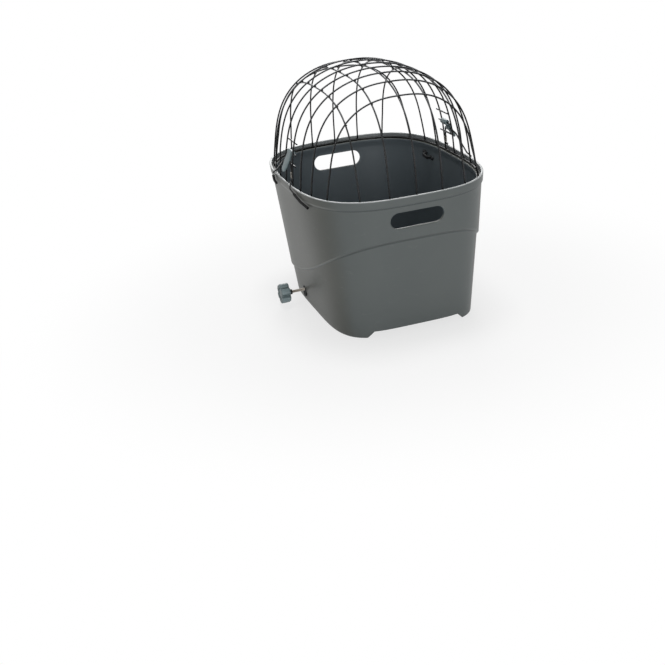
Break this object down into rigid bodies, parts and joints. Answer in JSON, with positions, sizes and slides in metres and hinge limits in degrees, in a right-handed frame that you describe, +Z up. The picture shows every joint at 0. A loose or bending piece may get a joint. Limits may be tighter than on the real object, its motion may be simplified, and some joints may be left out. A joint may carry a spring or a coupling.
{
  "type": "dog bicycle basket",
  "caption": "Deep rounded plastic tub for a bicycle carrier with a lift-off wire dome, spring latches at the sides, carrying slots and a screw clamp underneath.",
  "frame": {"origin": "middle of the tub's underside, where its spine rests on a bicycle carrier", "axes": "+X to the right, away from the clamp knob; +Y towards the tub's far end; +Z up"},
  "size_m": [0.3835, 0.4594, 0.4668],
  "materials": {
    "tub": "fine moulded grain",
    "dark_plastic": "plain moulded",
    "grip_plastic": "smooth moulded",
    "wire": "satin black coating",
    "steel": "plated",
    "black_steel": "blackened",
    "spring_steel": "bright drawn",
    "sleeve": "dull"
  },
  "bodies": {
    "basket": {"anchor_rivet_1": "steel", "anchor_rivet_2": "steel", "basket_tub": "tub", "fixed_jaw": "dark_plastic", "jaw_screw_1": "steel", "jaw_screw_2": "steel", "leash_anchor": "dark_plastic", "thread_bush": "dark_plastic"},
    "dome": {"cross_wire_1": "wire", "cross_wire_2": "wire", "cross_wire_3": "wire", "cross_wire_4": "wire", "cross_wire_5": "wire", "cross_wire_6": "wire", "cross_wire_7": "wire", "cross_wire_8": "wire", "cross_wire_9": "wire", "dome_ring": "wire", "long_wire_1": "wire", "long_wire_2": "wire", "long_wire_3": "wire", "long_wire_4": "wire", "long_wire_5": "wire", "rung_high_left": "wire", "rung_high_right": "wire", "rung_low_left": "wire", "rung_low_right": "wire", "rung_middle_left": "wire", "rung_middle_right": "wire"},
    "latch_left": {"front_sleeve_left": "sleeve", "latch_bail_left": "wire", "latch_lever_left": "grip_plastic", "latch_spring_left": "spring_steel", "rear_sleeve_left": "sleeve"},
    "latch_right": {"front_sleeve_right": "sleeve", "latch_bail_right": "wire", "latch_lever_right": "grip_plastic", "latch_spring_right": "spring_steel", "rear_sleeve_right": "sleeve"},
    "jaw": {"moving_jaw": "dark_plastic"},
    "knob": {"clamp_knob": "grip_plastic", "clamp_rod": "steel", "lock_nut": "black_steel", "rod_clip": "steel"}
  },
  "joints": [
    {"name": "dome_lift", "type": "slide", "parent": "basket", "child": "dome", "axis": [0, 0, 1], "range_m": [0, 0.06]},
    {"name": "latch_left_swing", "type": "hinge", "parent": "dome", "child": "latch_left", "pos_m": [-0.1634, -0.019, 0.315], "axis": [0, 1, 0], "range_deg": [0, 60]},
    {"name": "latch_right_swing", "type": "hinge", "parent": "dome", "child": "latch_right", "pos_m": [0.1634, 0.019, 0.315], "axis": [0, -1, 0], "range_deg": [0, 60]},
    {"name": "jaw_slide", "type": "slide", "parent": "basket", "child": "jaw", "axis": [1, 0, 0], "range_m": [0, 0.024]},
    {"name": "knob_turn", "type": "hinge", "parent": "jaw", "child": "knob", "pos_m": [-0.15, 0.047, 0.014], "axis": [1, 0, 0], "range_deg": [0, 8640]}
  ],
  "couplings": [
    {"joint": "latch_left_swing", "follows": "dome_lift", "rad_per_m": 17.453},
    {"joint": "latch_right_swing", "follows": "dome_lift", "rad_per_m": 17.453},
    {"joint": "jaw_slide", "follows": "knob_turn", "m_per_rad": 0.00015915}
  ]
}
